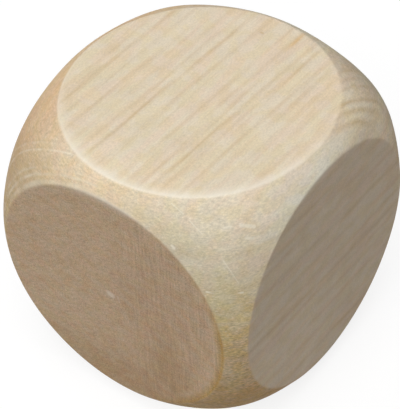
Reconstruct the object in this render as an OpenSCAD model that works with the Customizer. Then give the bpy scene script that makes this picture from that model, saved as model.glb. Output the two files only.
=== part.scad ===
// Blank wooden cube, turned down from square stock: a ball surface rounds off every
// corner and edge, and leaves one round flat in the middle of each of the six sides.
// It is one solid piece of wood. It stands on its lower flat, and the origin is the
// centre of that flat. The sides face along X, Y and Z, and the grain runs along Y.

/* [Cube] */
// Distance between two opposite flats
across_flats = 50; // [48:0.5:60]
// Diameter of the round flat on each side, out to where it meets the ball surface
flat_d = 45.2; // [36:0.2:46]

/* [Sanding] */
// Radius that softens the rim of every flat
rim_round = 0.6; // [0.2:0.1:1.2]

/* [Hidden] */

// Fineness of the round surfaces
$fn = 180;
// Number of short faces around the softened rim
rim_steps = 5;
// How far the outline of a turned side stands outside the ball, away from the rim
clear = 1;

half = across_flats / 2;
flat_r = flat_d / 2;
// The ball passes through the sharp rim of every flat
ball_r = norm([flat_r, half]);

// The rounding of a rim is an arc that touches both the flat and the ball.
// Its centre lies rim_round below the flat and rim_round inside the ball.
arc_y = half - rim_round;
arc_x = sqrt(pow(ball_r - rim_round, 2) - pow(arc_y, 2));
// The arc turns from straight up to the direction in which it touches the ball
arc_turn = atan2(arc_x, arc_y);

function rim_point(i) =
    let (angle = arc_turn * i / rim_steps)
    [arc_x + rim_round * sin(angle), arc_y + rim_round * cos(angle)];

// The last short face of the rim carries on in its own direction until it is well
// outside the ball, so the ball surface itself is left untouched beyond the rim
outer_r = ball_r + clear;
last = rim_point(rim_steps);
before_last = rim_point(rim_steps - 1);
slope = (last[1] - before_last[1]) / (last[0] - before_last[0]);
outer_y = last[1] + slope * (outer_r - last[0]);

// Outline of the upper half, from the middle of the flat to the outer wall
upper_outline = concat(
    [[0, half]],
    [for (i = [0 : rim_steps]) rim_point(i)],
    [[outer_r, outer_y]]
);
lower_outline = [for (i = [len(upper_outline) - 1 : -1 : 0])
    [upper_outline[i][0], -upper_outline[i][1]]];

// Two opposite flats with their softened rims, as one turned solid along Z
module flat_pair() {
    rotate_extrude()
        polygon(concat(upper_outline, lower_outline));
}

module wooden_cube() {
    color("burlywood")
        translate([0, 0, half])
            intersection() {
                sphere(r = ball_r);
                flat_pair();
                rotate([90, 0, 0]) flat_pair();
                rotate([0, 90, 0]) flat_pair();
            }
}

wooden_cube();
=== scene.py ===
# A blank wooden cube, 5 cm across: ball-rounded corners, a round flat on every side,
# bare pale hardwood with the grain running along Y.
import math

import bpy
import numpy as np
from mathutils import Matrix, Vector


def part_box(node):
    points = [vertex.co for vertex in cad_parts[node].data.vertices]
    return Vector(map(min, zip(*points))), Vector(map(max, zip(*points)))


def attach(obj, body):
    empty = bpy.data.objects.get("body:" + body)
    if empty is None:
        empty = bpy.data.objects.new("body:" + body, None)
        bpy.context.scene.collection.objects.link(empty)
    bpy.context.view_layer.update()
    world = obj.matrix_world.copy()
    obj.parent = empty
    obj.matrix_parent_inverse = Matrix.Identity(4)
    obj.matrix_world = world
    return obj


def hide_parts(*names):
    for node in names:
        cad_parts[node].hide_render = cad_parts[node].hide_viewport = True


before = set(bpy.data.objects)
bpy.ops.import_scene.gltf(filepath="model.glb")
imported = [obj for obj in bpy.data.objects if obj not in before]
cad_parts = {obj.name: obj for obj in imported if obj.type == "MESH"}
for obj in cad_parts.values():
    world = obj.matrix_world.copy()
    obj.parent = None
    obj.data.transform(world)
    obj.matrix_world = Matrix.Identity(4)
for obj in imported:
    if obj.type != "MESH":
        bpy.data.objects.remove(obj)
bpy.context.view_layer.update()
print("frame loaded, nodes:", ", ".join(sorted(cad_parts)))

millimetre = 0.001

# what the cube is cut to; lengths in millimetres, corners named by their side signs
cubeForm = {
    "flatRadius": 21.7,       # round flat, out to where it would meet a true ball
    "rimSoftness": 0.2,        # how far the rim's sharp edge is rubbed down
    "rimUneven": 0.3,          # share by which that softness wanders around a rim
    "cornerFullness": 1.4,    # how far a corner stands out of the true ball
    "cornerProfile": 1.4,      # above 1, the fullness starts away from the rims
    "cornerExtra": {(1, 1, 1): 0.5, (1, -1, -1): -0.6},  # corners sanded less or more
    "ballShift": (0.25, -0.3, 0.35),   # the ball is sanded slightly off centre
    "widerInX": -0.2,          # and slightly out of round: wider along X than along Y
    "leanXZ": 0.45,            # fuller towards +X +Z than towards +X -Z
    "leanYZ": 0.1,             # fuller towards +Y +Z than towards +Y -Z
    "handWave": 0.035,         # slow unevenness of the hand-sanded ball
    "waveSeed": 11,
    "around": 192,             # grid columns right round a flat, a multiple of 8
    "flatRings": 30,
    "rimRings": 12,
    "ballRings": 16,
    "rimZone": 0.55,           # half width of the finely divided strip over the rim
}

# small knocks in the surface: place, reach along and across, depth, turn about the side
cubeKnocks = [
    {"side": (0, -1, 0), "place": (0.9, -25.0, 0.1), "long": 0.45, "wide": 0.4, "deep": 0.10, "turn": 0},
    {"side": (0, -1, 0), "place": (19.3, -24.8, 13.1), "long": 0.6, "wide": 0.4, "deep": 0.10, "turn": -40},
]


def unitLength(v):
    return v / np.linalg.norm(v, axis=-1, keepdims=True)


def ballRadius(direction, half, form):
    # a ball of nearly constant radius: shifted by a dot product with the direction, put out of round
    # by products of its parts, and raised towards the corners by a lift, the product over the three
    # axes of 1 - (n / cosRim)^2, to a power, which is 0 along every rim and 1 at a corner
    x, y, z = np.moveaxis(direction, -1, 0)
    trueBall = math.hypot(half, form["flatRadius"])
    cosRim = half / trueBall
    shape = direction @ np.array(form["ballShift"]) + form["widerInX"] * (x ** 2 - y ** 2)
    shape = shape + form["leanXZ"] * x * z + form["leanYZ"] * y * z
    gap = 1 - (direction / cosRim) ** 2
    lift = np.prod((gap + np.hypot(gap, 0.02)) / 2, axis=-1) / (1 - 1 / (3 * cosRim ** 2)) ** 3
    lift = lift ** form["cornerProfile"]
    fullness = np.full(lift.shape, form["cornerFullness"])
    for corner, extra in form["cornerExtra"].items():
        facing = direction @ (np.array(corner) / math.sqrt(3))
        fullness = fullness + extra * np.clip((facing - 0.75) / 0.25, 0, 1)
    rng = np.random.default_rng(form["waveSeed"])
    wave = np.zeros(lift.shape)
    for pitch in (3, 5, 8, 13):
        axis = unitLength(rng.normal(size=3))
        wave += np.sin(pitch * (direction @ axis) * math.pi + rng.uniform(0, 6.28)) / pitch
    return trueBall + shape + lift * fullness + np.sqrt(np.clip(lift, 0, 1)) * wave * form["handWave"] * 3


def softMinimum(a, b, softness):
    # the smaller of a and b, with the kink where they cross rounded over by softness
    blend = np.clip(softness - np.abs(a - b), 0, None)
    return np.minimum(a, b) - blend ** 2 / (4 * softness)


def rimPlace(angle, across, along, normal, half, form):
    # distance from the flat's middle at which the ball meets the flat, for each angle round it:
    # starts from the true circle and steps by the ball's radius minus the point's own distance
    rim = np.full(angle.shape, form["flatRadius"])
    spoke = np.cos(angle)[:, None] * across + np.sin(angle)[:, None] * along
    for _ in range(10):
        point = spoke * rim[:, None] + half * normal
        distance = np.linalg.norm(point, axis=-1)
        rim = rim + (ballRadius(point / distance[:, None], half, form) - distance) * distance / rim
    return rim


def sideRings(rim, angle, half, form):
    # distances from the middle of a flat, measured on its own plane, for each angle round it:
    # over the flat, closer together at its middle, closely across the rim, then out to the square
    # border with the next sides
    border = half / np.maximum(np.abs(np.cos(angle)), np.abs(np.sin(angle)))
    zone = form["rimZone"]
    flat = np.linspace(0, 1, form["flatRings"] + 1)[1:, None] ** 1.6 * (rim - zone)
    over = rim + np.linspace(-zone, zone, form["rimRings"] + 1)[1:, None]
    ball = rim + zone + np.linspace(0, 1, form["ballRings"] + 1)[1:, None] * (border - rim - zone)
    return np.concatenate([flat, over, ball])


def sideFrames():
    # for each of the six sides: its two in-plane axes and its outward normal, right-handed
    eye = np.eye(3)
    for axis in range(3):
        for sign in (1, -1):
            normal = eye[axis] * sign
            across = eye[(axis + 1) % 3]
            yield across, np.cross(normal, across), normal


def knockIn(points, knock, half):
    # a shallow dent: an oval bell pushed in along the side's normal
    normal = np.array(knock["side"], float)
    away = points - np.array(knock["place"])
    along = unitLength(np.cross(normal, (0.3, 0.2, 1.0)))
    across = np.cross(normal, along)
    turn = math.radians(knock["turn"])
    u = away @ (along * math.cos(turn) + across * math.sin(turn)) / knock["long"]
    v = away @ (across * math.cos(turn) - along * math.sin(turn)) / knock["wide"]
    w = away @ normal / 2
    depth = knock["deep"] * np.exp(-(u ** 2 + v ** 2 + w ** 2))
    return points - depth[..., None] * normal


def cubeSurface(half, form):
    # one point for each side, ring and angle: the direction through the side's plane, times the
    # soft minimum of the flat's distance and the ball's radius in that direction
    angle = np.arange(form["around"]) * 2 * math.pi / form["around"]
    softness = form["rimSoftness"] * (1 + form["rimUneven"] * np.sin(3 * angle + 1.0) * np.cos(7 * angle))
    points, poles, rimShare, insideShare, flatShare = [], [], [], [], []
    for across, along, normal in sideFrames():
        rim = rimPlace(angle, across, along, normal, half, form)
        rings = sideRings(rim, angle, half, form)
        plane = (rings * np.cos(angle))[..., None] * across + (rings * np.sin(angle))[..., None] * along
        direction = unitLength(plane + half * normal)
        toFlat = half / (direction @ normal)
        toBall = ballRadius(direction, half, form)
        points.append(direction * softMinimum(toFlat, toBall, softness)[..., None])
        poles.append(half * normal)
        pastRim = rings - rim + 0.08
        rimShare.append(np.exp(-(pastRim / np.where(pastRim < 0, 0.7, 0.42)) ** 2))
        insideShare.append(np.exp(-((rings - rim + 0.35) / 0.38) ** 2))
        flatShare.append(1 / (1 + np.exp((rings - rim) / 0.12)))
    points, poles = np.array(points), np.array(poles)
    for knock in cubeKnocks:
        points = knockIn(points, knock, half)
    return points, poles, np.array(rimShare), np.array(insideShare), np.array(flatShare)


def buildCube(half, centre, form):
    points, poles, rimShare, insideShare, flatShare = cubeSurface(half, form)
    sides, rings, around, _ = points.shape
    grid = (np.arange(sides)[:, None, None] * rings + np.arange(rings)[:, None]) * around + np.arange(around)
    nextRound = np.roll(grid, -1, axis=2)
    quads = np.stack([grid[:, :-1], grid[:, 1:], nextRound[:, 1:], nextRound[:, :-1]], axis=-1).reshape(-1, 4)
    poleIndex = sides * rings * around + np.arange(sides)
    fans = np.stack([np.broadcast_to(poleIndex[:, None], (sides, around)), grid[:, 0], nextRound[:, 0]], axis=-1)
    allPoints = np.concatenate([points.reshape(-1, 3), poles])
    rimShare = np.concatenate([rimShare.ravel(), np.zeros(sides)])
    insideShare = np.concatenate([insideShare.ravel(), np.zeros(sides)])
    flatShare = np.concatenate([flatShare.ravel(), np.ones(sides)])
    # neighbouring sides share their border points, so each place is kept once
    key = np.round(allPoints * 2000).astype(np.int64)
    _, first, same = np.unique(key, axis=0, return_index=True, return_inverse=True)
    same = same.ravel()
    vertices = allPoints[first] * millimetre + centre
    faces = same[quads].tolist() + same[fans.reshape(-1, 3)].tolist()
    mesh = bpy.data.meshes.new("woodenCube")
    mesh.from_pydata(vertices.tolist(), [], faces)
    mesh.update()
    mesh.polygons.foreach_set("use_smooth", np.ones(len(mesh.polygons), bool))
    normals = np.empty(len(vertices) * 3, np.float32)
    mesh.vertex_normals.foreach_get("vector", normals)
    facing = np.abs(normals.reshape(-1, 3))
    shares = {"rimShare": rimShare[first], "insideShare": insideShare[first], "flatShare": flatShare[first],
              "endShare": facing[:, 1], "topShare": facing[:, 2]}
    for name, values in shares.items():
        layer = mesh.attributes.new(name, "FLOAT", "POINT")
        layer.data.foreach_set("value", values.astype(np.float32))
    mesh.update()
    cube = bpy.data.objects.new("sanded_cube", mesh)
    bpy.context.collection.objects.link(cube)
    print("cube mesh:", len(mesh.vertices), "points,", len(mesh.polygons), "faces")
    return cube


# colours as they look under plain light, in 8-bit display values
woodTones = {
    "cream": (224, 211, 188),      # the clear wood between the streaks
    "rosy": (225, 205, 182),       # slow, slightly pinker clouds in it
    "streak": (203, 179, 143),     # late wood and darker fibres
    "honey": (214, 176, 120),      # rare orange streaks
    "fleck": (240, 234, 218),      # short light flecks, scratches and burrs; also the painted highlight along the near rims and on a knock's burr
    "endGrain": (224, 212, 202),   # what the sawn end grain takes away, as a filter colour
    "gilded": (236, 220, 148),     # the end grain just inside its rim, low down, as a filter colour
    "endDarkening": (241, 238, 229),     # the darker patch on it, and its darkening towards the bottom
    "sideFlat": (255, 250, 250),   # the long flats are a trace redder, as a filter colour
    "crossCut": (235, 238, 236),   # what fibres cut at a slant take away, as a filter colour
    "yellowed": (252, 248, 226),   # small yellowish clouds, as a filter colour
    "flushed": (255, 247, 245),    # pinkish clouds, as a filter colour
    "paintedWarmLeft": (251, 235, 217),     # painted warm light on the ball's corners at -X, as a filter colour
    "paintedWarmLow": (249, 223, 192),  # and painted warm shade on the ball low down, as a filter colour
}

# the wood's figure; lengths in millimetres in the cube's own axes, from its middle, along Y
woodGrain = {
    "pith": (-95.0, 12.0),     # where the middle of the tree lies, in X and Z
    "drift": 0.05,             # how far the grain leans to +X and -Z, for each millimetre of Y
    "wander": 0.7,             # how far a line strays from its own place
    # dark rings on the top, by their place in X
    "rings": {
        "strong": (-15.9, -4.7, -1.8, 7.6, 12.0, 19.6, 21.0, 22.8),
        "faint": (-17.6, -13.6, -11.2, -8.7, -6.5, 2.5, 4.4, 5.9, 9.2, 13.6, 15.5, 17.8)},
    "ringWidth": 0.65,
    "ringStrength": 0.43,
    # the same rings where they come out on the far right corner, leaning by a share of the height
    "cornerArcs": {"strong": (19.7, 20.8, 21.9), "faint": (14.8, 16.3, 17.8)},
    "arcWidth": 0.45,
    "arcLean": 0.2,
    "arcStrength": 0.75,
    # softer bands round the sides, by their place in Z
    "bands": {
        "strong": (-16.5, -1.2, 8.4, 17.7),
        "faint": (-20.9, -12.4, -9.2, -6.1, -3.2, 1.5, 4.7, 12.4, 14.4, 20.4)},
    "bandWidth": 0.9,
    "bandStrength": 0.38,
    # light rings left on the ball by the sanding cup, by their place in Y
    "sandingRings": {"strong": (-24.7, -24.0, -21.5), "faint": (-23.4, -20.6)},
    "sandingWidth": 0.2,
    "sandingStrength": 0.48,
    "faintShare": 0.6,         # how strong a faint line is next to a strong one
    "fibreLength": 22.0,
    "fibreWidth": 0.6,
    "streakStrength": 0.22,
    "mottle": 0.45,           # brightness wandering from fibre to fibre
    "specks": 0.28,            # light specks where the ball cuts across the fibres
    "honeyStreak": (5.8, 19.3, 25.0),
    "roughness": 0.7,
    "rimGloss": 1.0,
    "rimRoughness": 0.32,      # the top's near rim is rubbed smooth
}

# shades the wood's colour is multiplied by, in red, green and blue: tints of the wood, also painted light (paler)
# and painted shade (shaded)
tintsAndPaintedLight = {
    "lighter": (1.07, 1.07, 1.07),
    "paler": (1.18, 1.15, 1.15),
    "greyer": (1.03, 1.1, 1.18),
    "warmer": (1.11, 1.02, 0.94),
    "yellower": (0.97, 0.97, 0.87),
    "creamier": (0.99, 0.98, 0.98),
    "deeper": (0.93, 0.9, 0.89),
    "shaded": (0.83, 0.8, 0.8),
}

# broad soft patches with another shade: middle and reach in X, Y and Z; on the ball, then on the flats
ballPatches = {
    # painted shade: the corner beyond the top's far right rim made darker
    "far right": ((17.0, 20.0, 23.0), (9.0, 9.0, 6.0), "shaded"),
    # painted light: that corner made lighter lower down, towards the right side
    "right corner": ((25.0, 16.0, 14.0), (7.0, 10.0, 9.5), "paler"),
    "beside the right side": ((25.0, -6.0, 22.0), (5.0, 17.0, 8.0), "greyer"),
    "above the end": ((-4.0, -25.0, 24.0), (21.0, 5.5, 8.0), "warmer"),
    "left corner": ((-19.0, -18.0, 20.0), (13.0, 10.0, 14.0), "deeper"),
    "front corner": ((22.0, -23.0, 8.0), (8.0, 8.0, 12.0), "yellower"),
    "front, low": ((22.0, -23.0, -5.0), (6.0, 6.0, 7.0), "greyer"),
}
flatPatches = {
    "near the top's rim": ((1.0, -20.0, 25.0), (24.0, 6.0, 3.0), "lighter"),
    "top, far": ((2.0, 16.0, 25.0), (28.0, 20.0, 3.0), "creamier"),
    "end, right": ((10.0, -25.0, 0.0), (14.0, 2.0, 26.0), "deeper"),
    "end, low": ((6.0, -25.0, -21.0), (25.0, 2.0, 14.0), "deeper"),
    "right side, low": ((25.0, -14.0, -14.0), (2.0, 24.0, 24.0), "lighter"),
}

# single light marks, each from one place to another, with its half width and strength
woodMarks = {
    "fleck": ((20.8, -17.3, 22.1), (22.2, -16.0, 21.5), 0.5, 0.5),
    "left fleck": ((19.1, -19.2, 22.2), (19.8, -18.5, 22.2), 0.35, 0.35),
    "lower fleck": ((22.0, -17.8, 20.5), (22.7, -17.0, 20.2), 0.35, 0.35),
    "long scratch, start": ((20.6, -21.7, 18.2), (21.9, -21.6, 16.4), 0.15, 0.35),
    "long scratch, end": ((21.9, -21.6, 16.4), (23.0, -21.4, 14.5), 0.15, 0.3),
    "upper scratch": ((14.5, -21.5, 23.0), (16.8, -21.6, 21.6), 0.15, 0.4),
    "small scratch": ((11.0, -21.2, 24.4), (13.3, -21.3, 23.5), 0.15, 0.4),
    "rim scratch": ((19.4, -24.6, 13.2), (23.7, -21.3, 12.7), 0.26, 0.6),
    "rim dot": ((13.3, -24.6, 19.6), (13.7, -24.6, 19.3), 0.35, 0.5),
    # painted highlight: the lit flank of a raised edge by the first knock, and its tail
    "dent burr highlight": ((-0.1, -25.0, 0.9), (0.3, -25.0, 0.8), 1.0, 0.42),
    "burr highlight tail": ((1.5, -25.0, 1.3), (1.8, -25.0, 0.0), 0.22, 0.2),
}
darkMarks = {
    "speck": ((-0.2, 17.9, 25.0), (0.1, 17.9, 25.0), 0.4, 0.85),
}


def displayColour(name):
    level = np.array(woodTones[name]) / 255
    linear = np.where(level <= 0.04045, level / 12.92, ((level + 0.055) / 1.055) ** 2.4)
    return (*linear.tolist(), 1.0)


def addNode(tree, kind, **settings):
    node = tree.nodes.new(kind)
    for name, value in settings.items():
        setattr(node, name, value)
    return node


def feed(tree, socket, source):
    # a socket takes another node's output, or a plain value
    if isinstance(source, bpy.types.NodeSocket):
        tree.links.new(source, socket)
    else:
        socket.default_value = source


def calc(tree, operation, *sources):
    node = addNode(tree, "ShaderNodeMath", operation=operation)
    for socket, source in zip(node.inputs, sources):
        feed(tree, socket, source)
    return node.outputs[0]


def vectorCalc(tree, operation, *sources, value=False):
    node = addNode(tree, "ShaderNodeVectorMath", operation=operation)
    for socket, source in zip(node.inputs, sources):
        feed(tree, socket, source)
    return node.outputs["Value" if value else "Vector"]


def remap(tree, source, fromLow, fromHigh, toLow=0.0, toHigh=1.0):
    node = addNode(tree, "ShaderNodeMapRange", interpolation_type="SMOOTHSTEP")
    for socket, value in zip(node.inputs, (source, fromLow, fromHigh, toLow, toHigh)):
        feed(tree, socket, value)
    return node.outputs[0]


def noise(tree, vector, scale=1.0, detail=2.0, roughness=0.5):
    node = addNode(tree, "ShaderNodeTexNoise")
    feed(tree, node.inputs["Vector"], vector)
    for name, value in (("Scale", scale), ("Detail", detail), ("Roughness", roughness)):
        node.inputs[name].default_value = value
    return node.outputs[0]


def stretched(tree, vector, scale):
    return vectorCalc(tree, "MULTIPLY", vector, scale)


def turned(tree, vector, degrees):
    # turned about the Y axis, seen from the front against the clock
    node = addNode(tree, "ShaderNodeMapping")
    feed(tree, node.inputs["Vector"], vector)
    node.inputs["Rotation"].default_value = (0.0, math.radians(degrees), 0.0)
    return node.outputs[0]


def mixColour(tree, factor, first, second, blend="MIX"):
    node = addNode(tree, "ShaderNodeMix", data_type="RGBA", blend_type=blend)
    feed(tree, node.inputs[0], factor)
    feed(tree, node.inputs[6], first)
    feed(tree, node.inputs[7], second)
    return node.outputs[2]


def separate(tree, vector):
    node = addNode(tree, "ShaderNodeSeparateXYZ")
    feed(tree, node.inputs[0], vector)
    return node.outputs


def brighten(tree, colour, *changes):
    # the colour times 1 plus each change, a pair of a centred pattern and its strength
    total = 1.0
    for pattern, strength in changes:
        total = calc(tree, "MULTIPLY_ADD", pattern, strength, total)
    return mixColour(tree, 1.0, colour, total, "MULTIPLY")


def newGroup(name, inputs, outputs):
    tree = bpy.data.node_groups.new(name, "ShaderNodeTree")
    for title, kind, value in inputs:
        socket = tree.interface.new_socket(title, in_out="INPUT", socket_type=kind)
        if value is not None:
            socket.default_value = value
    for title, kind in outputs:
        tree.interface.new_socket(title, in_out="OUTPUT", socket_type=kind)
    return tree, tree.nodes.new("NodeGroupInput"), tree.nodes.new("NodeGroupOutput")


def useGroup(tree, group, **values):
    node = tree.nodes.new("ShaderNodeGroup")
    node.node_tree = group
    for title, source in values.items():
        feed(tree, node.inputs[title], source)
    return node


def lineCurve(tree, source, lines, width, reach=25.0):
    # one peak on a curve for each line: 1 or the faint share at its place, down to 0 at its half
    # width, or halfway to the next line where the two would meet
    node = addNode(tree, "ShaderNodeFloatCurve")
    feed(tree, node.inputs["Value"], calc(tree, "MULTIPLY_ADD", source, 0.5 / reach, 0.5))
    points = {0.0: 0.0, 1.0: 0.0}
    strengths = {place: 1.0 for place in lines["strong"]}
    strengths.update({place: woodGrain["faintShare"] for place in lines["faint"]})
    places = [-reach * 2, *sorted(strengths), reach * 2]
    for before, place, after in zip(places, places[1:], places[2:]):
        strength = strengths[place]
        points[0.5 + place / reach / 2] = strength
        points[0.5 + max(place - width, (before + place) / 2) / reach / 2] = 0.0
        points[0.5 + min(place + width, (after + place) / 2) / reach / 2] = 0.0
    curve = node.mapping.curves[0]
    ends = sorted(points)
    for point, x in zip(curve.points, (ends[0], ends[-1])):
        point.location = (x, points[x])
    for x in ends[1:-1]:
        curve.points.new(x, points[x])
    for point in curve.points:
        point.handle_type = "VECTOR"
    node.mapping.update()
    return node.outputs[0]


def figureGroup():
    # the dark lines of the wood. The top's follow rings about the pith, so their place is the
    # distance from it less the middle's; the side bands' place is the height. Both lean with the
    # grain and stray by slow noise
    tree, given, result = newGroup(
        "figure",
        [("Place", "NodeSocketVector", None)],
        [("Top", "NodeSocketFloat"), ("Arcs", "NodeSocketFloat"), ("Side", "NodeSocketFloat")])
    place = given.outputs["Place"]
    _, placeY, placeZ = separate(tree, place)
    pithX, pithZ = woodGrain["pith"]
    fromPith = vectorCalc(tree, "SUBTRACT", place, (pithX, 0.0, pithZ))
    distance = vectorCalc(tree, "LENGTH", stretched(tree, fromPith, (1.0, 0.0, 1.0)), value=True)
    middle = math.hypot(pithX, 25.0 - pithZ)
    stray = calc(tree, "SUBTRACT", noise(tree, stretched(tree, place, (0.3, 0.06, 0.3))), 0.5)
    ring = calc(tree, "MULTIPLY_ADD", stray, woodGrain["wander"], calc(tree, "SUBTRACT", distance, middle))
    ring = calc(tree, "MULTIPLY_ADD", placeY, -woodGrain["drift"], ring)
    top = lineCurve(tree, ring, woodGrain["rings"], woodGrain["ringWidth"])
    fade = remap(tree, noise(tree, stretched(tree, place, (0.5, 0.08, 0.5))), 0.36, 0.62, 0.55, 1.35)
    feed(tree, result.inputs["Top"], calc(tree, "MULTIPLY", top, calc(tree, "MULTIPLY", fade, woodGrain["ringStrength"])))
    lean = calc(tree, "MULTIPLY_ADD", placeZ, woodGrain["arcLean"], -25.0 * woodGrain["arcLean"])
    arcs = lineCurve(tree, calc(tree, "ADD", ring, lean), woodGrain["cornerArcs"], woodGrain["arcWidth"])
    feed(tree, result.inputs["Arcs"], calc(tree, "MULTIPLY", arcs, woodGrain["arcStrength"]))
    height = calc(tree, "MULTIPLY_ADD", placeY, woodGrain["drift"], placeZ)
    height = calc(tree, "MULTIPLY_ADD", stray, woodGrain["wander"] * 3, height)
    side = lineCurve(tree, height, woodGrain["bands"], woodGrain["bandWidth"])
    feed(tree, result.inputs["Side"], calc(tree, "MULTIPLY", side, calc(tree, "MULTIPLY", fade, woodGrain["bandStrength"])))
    return tree


def fibreGroup():
    # fibres are noise drawn out along Y: thin broken streaks on the sides, dots on the end grain
    tree, given, result = newGroup(
        "fibres",
        [("Place", "NodeSocketVector", None), ("Length", "NodeSocketFloat", 16.0),
         ("Width", "NodeSocketFloat", 0.4)],
        [("Streak", "NodeSocketFloat"), ("Fine", "NodeSocketFloat")])
    place = given.outputs["Place"]
    perWidth = calc(tree, "DIVIDE", 1.0, given.outputs["Width"])
    perLength = calc(tree, "DIVIDE", 1.0, given.outputs["Length"])
    scale = addNode(tree, "ShaderNodeCombineXYZ")
    for axis, source in enumerate((perWidth, perLength, perWidth)):
        feed(tree, scale.inputs[axis], source)
    drawn = stretched(tree, place, scale.outputs[0])
    broken = remap(tree, noise(tree, stretched(tree, place, (0.25, 0.11, 0.25))), 0.36, 0.6, 0.15, 1.0)
    streak = remap(tree, noise(tree, drawn, 1.0, 1.0), 0.5, 0.74)
    feed(tree, result.inputs["Streak"], calc(tree, "MULTIPLY", streak, broken))
    feed(tree, result.inputs["Fine"], noise(tree, stretched(tree, drawn, (2.0, 5.0, 2.0)), 1.0, 2.0, 0.6))
    return tree


def mottleGroup():
    # brightness and hue wandering over the wood: grains a little longer along the fibres, flat
    # dashes where the ball cuts the fibres at a slant, slow clouds of brightness and hue, and the
    # few light specks at the peaks of a fine noise
    tree, given, result = newGroup(
        "mottle",
        [("Place", "NodeSocketVector", None)],
        [("Grain", "NodeSocketFloat"), ("Dash", "NodeSocketFloat"), ("Cloud", "NodeSocketFloat"),
         ("Rosy", "NodeSocketFloat"), ("Yellow", "NodeSocketFloat"), ("Specks", "NodeSocketFloat")])
    place = given.outputs["Place"]
    grain = noise(tree, stretched(tree, place, (3.8, 2.2, 3.8)), 1.0, 2.0, 0.7)
    feed(tree, result.inputs["Grain"], calc(tree, "SUBTRACT", grain, 0.5))
    dash = noise(tree, stretched(tree, place, (1.5, 1.5, 5.0)), 1.0, 2.0, 0.6)
    feed(tree, result.inputs["Dash"], calc(tree, "SUBTRACT", dash, 0.5))
    cloud = noise(tree, stretched(tree, place, (0.4, 0.25, 0.4)), 1.0, 2.0)
    feed(tree, result.inputs["Cloud"], calc(tree, "SUBTRACT", cloud, 0.5))
    rosy = noise(tree, stretched(tree, place, (0.5, 0.12, 0.5)), 1.0, 2.0)
    feed(tree, result.inputs["Rosy"], remap(tree, rosy, 0.42, 0.62))
    aside = vectorCalc(tree, "ADD", place, (40.0, 0.0, 0.0))
    yellow = noise(tree, stretched(tree, aside, (0.45, 0.35, 0.7)), 1.0, 1.0)
    feed(tree, result.inputs["Yellow"], remap(tree, yellow, 0.4, 0.62))
    specks = noise(tree, stretched(tree, aside, (2.2, 2.2, 6.0)), 1.0, 1.0)
    feed(tree, result.inputs["Specks"], remap(tree, specks, 0.63, 0.72))
    return tree


def endGrainGroup():
    # the sawn end: fine pores, upright ribs left by the blade on the +X half, crossed by weaker level
    # ones, and slanting bands on the other, each a noise squeezed in one direction, and broad
    # patches of hue
    tree, given, result = newGroup(
        "end grain",
        [("Place", "NodeSocketVector", None)],
        [("Weave", "NodeSocketFloat"), ("Patch", "NodeSocketFloat")])
    place = given.outputs["Place"]
    placeX, _, _ = separate(tree, place)
    pores = calc(tree, "SUBTRACT", noise(tree, stretched(tree, place, (3.2, 1.0, 3.2)), 1.0, 3.0, 0.8), 0.5)
    upright = calc(tree, "SUBTRACT", noise(tree, stretched(tree, place, (4.0, 0.1, 0.25)), 1.0, 1.0), 0.5)
    level = calc(tree, "SUBTRACT", noise(tree, stretched(tree, place, (0.4, 0.1, 3.6)), 1.0, 1.0), 0.5)
    ribs = calc(tree, "MULTIPLY_ADD", level, 0.5, upright)
    slanted = turned(tree, place, 29.0)
    bands = calc(tree, "SUBTRACT", noise(tree, stretched(tree, slanted, (0.9, 0.1, 2.8)), 1.0, 2.0), 0.5)
    ribShare = remap(tree, placeX, -2.0, 9.0)
    bandShare = calc(tree, "SUBTRACT", 1.0, ribShare)
    weave = calc(tree, "MULTIPLY_ADD", ribs, calc(tree, "MULTIPLY", ribShare, 0.32), pores)
    weave = calc(tree, "MULTIPLY_ADD", bands, calc(tree, "MULTIPLY", bandShare, 0.27), weave)
    feed(tree, result.inputs["Weave"], weave)
    patch = noise(tree, stretched(tree, place, (0.8, 0.1, 1.0)), 1.0, 3.0)
    feed(tree, result.inputs["Patch"], remap(tree, patch, 0.36, 0.66))
    return tree


def turningGroup():
    # light rings left by the sanding cup: lines at fixed places along Y, so each runs round the
    # Y axis, broken up by noise along its way
    tree, given, result = newGroup(
        "turning marks",
        [("Place", "NodeSocketVector", None)],
        [("Mark", "NodeSocketFloat")])
    place = given.outputs["Place"]
    _, placeY, _ = separate(tree, place)
    stray = calc(tree, "SUBTRACT", noise(tree, stretched(tree, place, (0.15, 0.15, 0.15))), 0.5)
    across = calc(tree, "MULTIPLY_ADD", stray, 0.5, placeY)
    rings = lineCurve(tree, across, woodGrain["sandingRings"], woodGrain["sandingWidth"])
    broken = remap(tree, noise(tree, stretched(tree, place, (0.35, 0.5, 0.35))), 0.36, 0.56, 0.25, 1.0)
    broken = calc(tree, "MULTIPLY", broken, woodGrain["sandingStrength"])
    feed(tree, result.inputs["Mark"], calc(tree, "MULTIPLY", rings, broken))
    return tree


def patchGroup():
    # a soft oval patch: the distance from its middle in shares of its reach, faded from 0.2 to 1
    tree, given, result = newGroup(
        "patch",
        [("Place", "NodeSocketVector", None), ("Middle", "NodeSocketVector", None),
         ("Reach", "NodeSocketVector", None)],
        [("Mask", "NodeSocketFloat")])
    away = vectorCalc(tree, "SUBTRACT", given.outputs["Place"], given.outputs["Middle"])
    shares = vectorCalc(tree, "DIVIDE", away, given.outputs["Reach"])
    distance = vectorCalc(tree, "LENGTH", shares, value=True)
    feed(tree, result.inputs["Mask"], remap(tree, distance, 1.0, 0.2))
    return tree


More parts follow.
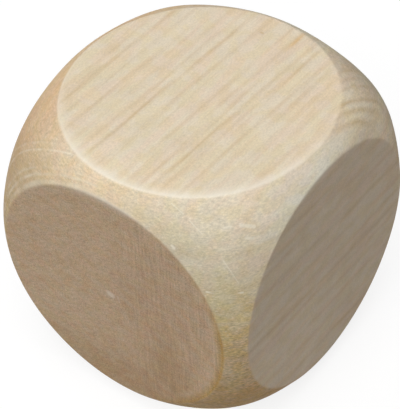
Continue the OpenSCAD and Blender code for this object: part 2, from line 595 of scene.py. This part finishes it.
def scratchGroup():
    # one thin mark: the distance from a straight line between two places, faded past a width
    tree, given, result = newGroup(
        "scratch",
        [("Place", "NodeSocketVector", None), ("Start", "NodeSocketVector", None),
         ("End", "NodeSocketVector", None), ("Width", "NodeSocketFloat", 0.15)],
        [("Mask", "NodeSocketFloat")])
    run = vectorCalc(tree, "SUBTRACT", given.outputs["End"], given.outputs["Start"])
    away = vectorCalc(tree, "SUBTRACT", given.outputs["Place"], given.outputs["Start"])
    share = calc(tree, "DIVIDE", vectorCalc(tree, "DOT_PRODUCT", away, run, value=True),
                 vectorCalc(tree, "DOT_PRODUCT", run, run, value=True))
    inside = addNode(tree, "ShaderNodeClamp")
    feed(tree, inside.inputs[0], share)
    scaled = addNode(tree, "ShaderNodeVectorMath", operation="SCALE")
    feed(tree, scaled.inputs[0], run)
    feed(tree, scaled.inputs["Scale"], inside.outputs[0])
    distance = vectorCalc(tree, "DISTANCE", away, scaled.outputs[0], value=True)
    near = calc(tree, "SUBTRACT", 1.0, calc(tree, "DIVIDE", distance, given.outputs["Width"]))
    feed(tree, result.inputs["Mask"], remap(tree, near, 0.0, 0.8))
    return tree


def woodMaterial(centre):
    material = bpy.data.materials.new("bare sanded hardwood")
    material.use_nodes = True
    tree = material.node_tree
    shader = tree.nodes["Principled BSDF"]
    coordinates = addNode(tree, "ShaderNodeTexCoord")
    mapping = addNode(tree, "ShaderNodeMapping", vector_type="TEXTURE")
    feed(tree, mapping.inputs["Vector"], coordinates.outputs["Object"])
    mapping.inputs["Location"].default_value = centre
    mapping.inputs["Scale"].default_value = (millimetre,) * 3
    place = mapping.outputs[0]
    placeX, placeY, placeZ = separate(tree, place)

    def fromMesh(name):
        return addNode(tree, "ShaderNodeAttribute", attribute_name=name).outputs["Fac"]

    def times(*sources):
        total = sources[0]
        for source in sources[1:]:
            total = calc(tree, "MULTIPLY", total, source)
        return total

    endShare, topShare = fromMesh("endShare"), fromMesh("topShare")
    rimShare, flatShare = fromMesh("rimShare"), fromMesh("flatShare")
    ballShare = calc(tree, "SUBTRACT", 1.0, flatShare)
    endFlat = times(flatShare, remap(tree, endShare, 0.6, 0.95))
    crossCut = times(ballShare, remap(tree, endShare, 0.1, 0.9))
    figure = useGroup(tree, figureGroup(), Place=place)
    fibres = useGroup(tree, fibreGroup(), Place=place, Length=woodGrain["fibreLength"],
                      Width=woodGrain["fibreWidth"])
    mottle = useGroup(tree, mottleGroup(), Place=place)
    ends = useGroup(tree, endGrainGroup(), Place=place)
    turning = useGroup(tree, turningGroup(), Place=place)

    # the lines of the top show there, weaker by its right rim, and come out again as arcs on the
    # corners far from the end grain; the bands show elsewhere
    plainSide = calc(tree, "SUBTRACT", 1.0, times(remap(tree, endShare, 0.25, 0.75), 0.85))
    onTop = times(figure.outputs["Top"], flatShare, remap(tree, topShare, 0.35, 0.75),
                  remap(tree, placeX, 17.0, 21.0, 1.0, 0.3))
    farRight = remap(tree, calc(tree, "MULTIPLY_ADD", placeX, 0.5, placeY), 13.0, 21.0, 0.1, 1.0)
    onCorner = times(figure.outputs["Arcs"], ballShare, remap(tree, topShare, 0.3, 0.6), farRight)
    topLines = times(calc(tree, "ADD", onTop, onCorner), plainSide)
    sideLines = times(figure.outputs["Side"], remap(tree, topShare, 0.75, 0.35),
                      calc(tree, "MULTIPLY_ADD", endFlat, -0.7, 1.0))
    streaks = times(fibres.outputs["Streak"], plainSide, remap(tree, topShare, 0.5, 0.95, 0.35, 1.0),
                    woodGrain["streakStrength"])
    clear = mixColour(tree, times(mottle.outputs["Rosy"], 0.7), displayColour("cream"), displayColour("rosy"))
    dark = calc(tree, "MINIMUM", calc(tree, "ADD", streaks, calc(tree, "ADD", topLines, sideLines)), 1.0)
    wood = mixColour(tree, dark, clear, displayColour("streak"))
    honeyPlace = stretched(tree, vectorCalc(tree, "SUBTRACT", place, woodGrain["honeyStreak"]), (1.6, 0.28, 0.5))
    honeyNear = remap(tree, vectorCalc(tree, "LENGTH", honeyPlace, value=True), 1.2, 0.0)
    wood = mixColour(tree, times(honeyNear, 0.7), wood, displayColour("honey"))
    yellowing = calc(tree, "MULTIPLY_ADD", times(ballShare, remap(tree, placeZ, 16.0, 4.0)), 0.6, 0.45)
    wood = mixColour(tree, times(mottle.outputs["Yellow"], yellowing), wood, displayColour("yellowed"), "MULTIPLY")
    sideGrain = times(mottle.outputs["Grain"], calc(tree, "SUBTRACT", 1.0, endFlat))
    coarse = times(ballShare, remap(tree, placeZ, 16.0, 0.0, 1.3, 3.6),
                   remap(tree, endShare, 0.1, 0.45, 0.5, 1.0))
    wood = brighten(tree, wood, (sideGrain, woodGrain["mottle"]),
                    (times(mottle.outputs["Dash"], coarse), woodGrain["mottle"]),
                    (mottle.outputs["Cloud"], 0.18), (times(ends.outputs["Weave"], endFlat), 1.5))

    # end grain and slanted fibres take up light; low down the end rims have gone golden; on the ball towards -X and
    # low down, painted warm light and painted warm shade
    wood = mixColour(tree, endFlat, wood, displayColour("endGrain"), "MULTIPLY")
    wood = mixColour(tree, times(endFlat, ends.outputs["Patch"]), wood, displayColour("flushed"), "MULTIPLY")
    # the end grain darker in one patch and towards its bottom
    darkPatchPlace = stretched(tree, vectorCalc(tree, "SUBTRACT", place, (11.0, -25.0, -11.0)), (0.2, 0.2, 0.12))
    endDarkening = remap(tree, vectorCalc(tree, "LENGTH", darkPatchPlace, value=True), 1.3, 0.2)
    endDarkening = calc(tree, "MAXIMUM", endDarkening, remap(tree, placeZ, -9.0, -20.0))
    wood = mixColour(tree, times(endFlat, endDarkening), wood, displayColour("endDarkening"), "MULTIPLY")
    sideFlat = times(flatShare, remap(tree, calc(tree, "ADD", topShare, endShare), 0.7, 0.3))
    wood = mixColour(tree, sideFlat, wood, displayColour("sideFlat"), "MULTIPLY")
    wood = mixColour(tree, crossCut, wood, displayColour("crossCut"), "MULTIPLY")
    # painted warm light on the ball towards -X, then painted warm shade on it low down
    paintedWarmLeft = times(ballShare, remap(tree, placeX, -3.0, -21.0))
    wood = mixColour(tree, paintedWarmLeft, wood, displayColour("paintedWarmLeft"), "MULTIPLY")
    paintedWarmLow = times(ballShare, remap(tree, placeZ, 20.0, -12.0), calc(tree, "SUBTRACT", 1.0, paintedWarmLeft))
    wood = mixColour(tree, paintedWarmLow, wood, displayColour("paintedWarmLow"), "MULTIPLY")
    gilded = times(endShare, fromMesh("insideShare"), remap(tree, placeX, 4.0, 20.0),
                   remap(tree, placeZ, 12.0, 3.0, 0.25, 1.0), remap(tree, mottle.outputs["Grain"], -0.12, 0.1, 0.6, 1.0))
    wood = mixColour(tree, gilded, wood, displayColour("gilded"), "MULTIPLY")

    # patches of tint, and on the ball also painted shade and painted light, multiplied into the colour
    for share, patches in ((ballShare, ballPatches), (flatShare, flatPatches)):
        for middle, reach, shade in patches.values():
            patch = useGroup(tree, patchNodes, Place=place, Middle=middle, Reach=reach)
            wood = mixColour(tree, times(patch.outputs["Mask"], share), wood, (*tintsAndPaintedLight[shade], 1.0), "MULTIPLY")

    # light marks: sanding rings by the end faces, scratches, flecks
    leftSide = remap(tree, placeX, 4.0, -6.0)
    marks = times(turning.outputs["Mark"], ballShare, leftSide, remap(tree, placeZ, 2.0, 16.0, 0.25, 1.0))
    specks = times(mottle.outputs["Specks"], ballShare, remap(tree, endShare, 0.15, 0.5), woodGrain["specks"])
    marks = calc(tree, "MAXIMUM", marks, specks)
    for start, end, width, strength in woodMarks.values():
        scratch = useGroup(tree, scratchNodes, Place=place, Start=start, End=end, Width=width)
        marks = calc(tree, "MAXIMUM", marks, times(scratch.outputs["Mask"], strength))
    wood = mixColour(tree, marks, wood, displayColour("fleck"))
    for start, end, width, strength in darkMarks.values():
        dot = useGroup(tree, scratchNodes, Place=place, Start=start, End=end, Width=width)
        wood = mixColour(tree, times(dot.outputs["Mask"], strength), wood, displayColour("streak"))

    # the rim nearest the eye and to its left is rubbed smooth under a glossy coat; its lighter colour there, and
    # along the ball's rim at -X, is a painted highlight
    towards = calc(tree, "MULTIPLY_ADD", placeX, 0.34, times(placeY, -0.94))
    rubbedAndHighlit = times(rimShare, remap(tree, towards, -6.0, 24.0), remap(tree, placeZ, 20.0, 23.5))
    leftRimHighlight = times(rimShare, ballShare, remap(tree, placeX, -6.0, -16.0), remap(tree, placeZ, 20.0, 23.5))
    # painted highlight: those rims mixed towards the fleck colour
    pale = calc(tree, "MAXIMUM", times(rubbedAndHighlit, 0.55), times(leftRimHighlight, 0.65))
    wood = mixColour(tree, pale, wood, displayColour("fleck"))
    feed(tree, shader.inputs["Base Color"], wood)
    feed(tree, shader.inputs["Roughness"], calc(tree, "MULTIPLY_ADD", mottle.outputs["Grain"], 0.3, woodGrain["roughness"]))
    shader.inputs["Specular IOR Level"].default_value = 0.2
    feed(tree, shader.inputs["Coat Weight"], times(rubbedAndHighlit, woodGrain["rimGloss"]))
    shader.inputs["Coat Roughness"].default_value = woodGrain["rimRoughness"]
    height = calc(tree, "ADD", times(fibres.outputs["Fine"], 0.6), times(mottle.outputs["Dash"], ballShare))
    height = calc(tree, "ADD", height, times(ends.outputs["Weave"], endFlat, 2.0))
    height = calc(tree, "SUBTRACT", height, times(marks, 0.8))
    bump = addNode(tree, "ShaderNodeBump")
    bump.inputs["Strength"].default_value = 0.3
    bump.inputs["Distance"].default_value = 0.05 * millimetre
    feed(tree, bump.inputs["Height"], height)
    feed(tree, shader.inputs["Normal"], bump.outputs[0])
    print("wood material:", len(tree.nodes), "nodes")
    return material


patchNodes = patchGroup()
scratchNodes = scratchGroup()
boxLow, boxHigh = (np.array(corner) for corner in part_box("wooden_cube"))
cubeCentre = (boxLow + boxHigh) / 2
halfAcross = float((boxHigh - boxLow)[2] / 2 / millimetre)

sandedCube = buildCube(halfAcross, cubeCentre, cubeForm)
sandedCube.data.materials.append(woodMaterial(cubeCentre))
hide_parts("wooden_cube")
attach(sandedCube, "root")
print("cube finished: ball-rounded, grained and sanded")

# camera as the photo was taken: angles in degrees, lengths in metres
photoCamera = {
    "azimuth": 39.0,
    "elevation": 45.1,
    "roll": -3.55,
    "distance": 0.2964,
    "aimRight": -0.0006,
    "aimUp": 0.0002,
    "lens": 155.9,
    "sensor": 36.0,
}


def placeCamera(target, setup):
    turn, lift, roll = (math.radians(setup[name]) for name in ("azimuth", "elevation", "roll"))
    back = np.array([math.sin(turn) * math.cos(lift), -math.cos(turn) * math.cos(lift), math.sin(lift)])
    level = np.array([math.cos(turn), math.sin(turn), 0.0])
    upright = np.cross(back, level)
    right = math.cos(roll) * level + math.sin(roll) * upright
    up = math.cos(roll) * upright - math.sin(roll) * level
    place = target + back * setup["distance"] + right * setup["aimRight"] + up * setup["aimUp"]
    matrix = Matrix([[right[i], up[i], back[i], place[i]] for i in range(3)] + [[0, 0, 0, 1]])
    lens = bpy.data.cameras.new("photo camera")
    lens.lens, lens.sensor_width, lens.sensor_fit = setup["lens"], setup["sensor"], "AUTO"
    camera = bpy.data.objects.new("photo camera", lens)
    camera.matrix_world = matrix
    bpy.context.collection.objects.link(camera)
    bpy.context.scene.camera = camera
    print("camera placed")
    return camera


placeCamera(cubeCentre, photoCamera)

# studio: the floor in metres, lamps by the angles they come from, in degrees
studio = {
    "floorSize": 6.0,
    "floorTone": 0.2,
    "floorLift": 0.82,
    "skyLevel": 0.1,
    "lamps": {
        "overhead": {"azimuth": 39, "elevation": 80, "strength": 1.14, "spread": 35},
        "front left": {"azimuth": 0, "elevation": 45, "strength": 0.69, "spread": 35},
        "front": {"azimuth": 39, "elevation": 45, "strength": 0.94, "spread": 35},
        "left fill": {"azimuth": -50, "elevation": 25, "strength": 0.55, "spread": 35},
        "back fill": {"azimuth": 219, "elevation": 40, "strength": 0.3, "spread": 35},
    },
}


def seenDirectly(tree):
    # 1 for what the camera, a reflection or a glass piece sees, 0 for light falling on things
    path = addNode(tree, "ShaderNodeLightPath")
    seen = calc(tree, "MAXIMUM", path.outputs["Is Camera Ray"], path.outputs["Is Glossy Ray"])
    return calc(tree, "MAXIMUM", seen, path.outputs["Is Transmission Ray"])


def buildFloor(setup):
    reach = setup["floorSize"] / 2
    corners = [(-reach, -reach, 0), (reach, -reach, 0), (reach, reach, 0), (-reach, reach, 0)]
    mesh = bpy.data.meshes.new("floor")
    mesh.from_pydata(corners, [], [(0, 1, 2, 3)])
    floor = bpy.data.objects.new("floor", mesh)
    bpy.context.collection.objects.link(floor)
    material = bpy.data.materials.new("pale studio floor")
    material.use_nodes = True
    tree = material.node_tree
    shader = tree.nodes["Principled BSDF"]
    shader.inputs["Base Color"].default_value = (setup["floorTone"],) * 3 + (1,)
    shader.inputs["Roughness"].default_value = 1.0
    shader.inputs["Specular IOR Level"].default_value = 0.0
    shader.inputs["Emission Color"].default_value = (1, 1, 1, 1)
    feed(tree, shader.inputs["Emission Strength"], calc(tree, "MULTIPLY", seenDirectly(tree), setup["floorLift"]))
    mesh.materials.append(material)


def buildLight(setup):
    world = bpy.data.worlds.new("soft studio")
    world.use_nodes = True
    bpy.context.scene.world = world
    tree = world.node_tree
    background = tree.nodes["Background"]
    background.inputs["Color"].default_value = (1, 1, 1, 1)
    level = calc(tree, "MULTIPLY_ADD", seenDirectly(tree), 1 - setup["skyLevel"], setup["skyLevel"])
    feed(tree, background.inputs["Strength"], level)
    for name, lamp in setup["lamps"].items():
        light = bpy.data.lights.new(name, "SUN")
        light.energy, light.angle = lamp["strength"], math.radians(lamp["spread"])
        holder = bpy.data.objects.new(name, light)
        turn = Matrix.Rotation(math.radians(lamp["azimuth"]), 4, "Z")
        tilt = Matrix.Rotation(math.radians(90 - lamp["elevation"]), 4, "X")
        holder.matrix_world = Matrix.Translation((0, 0, 1)) @ turn @ tilt
        bpy.context.collection.objects.link(holder)
    print("studio lit by", len(setup["lamps"]), "lamps and the sky")


buildFloor(studio)
buildLight(studio)

view = bpy.context.scene.view_settings
view.view_transform = "Standard"
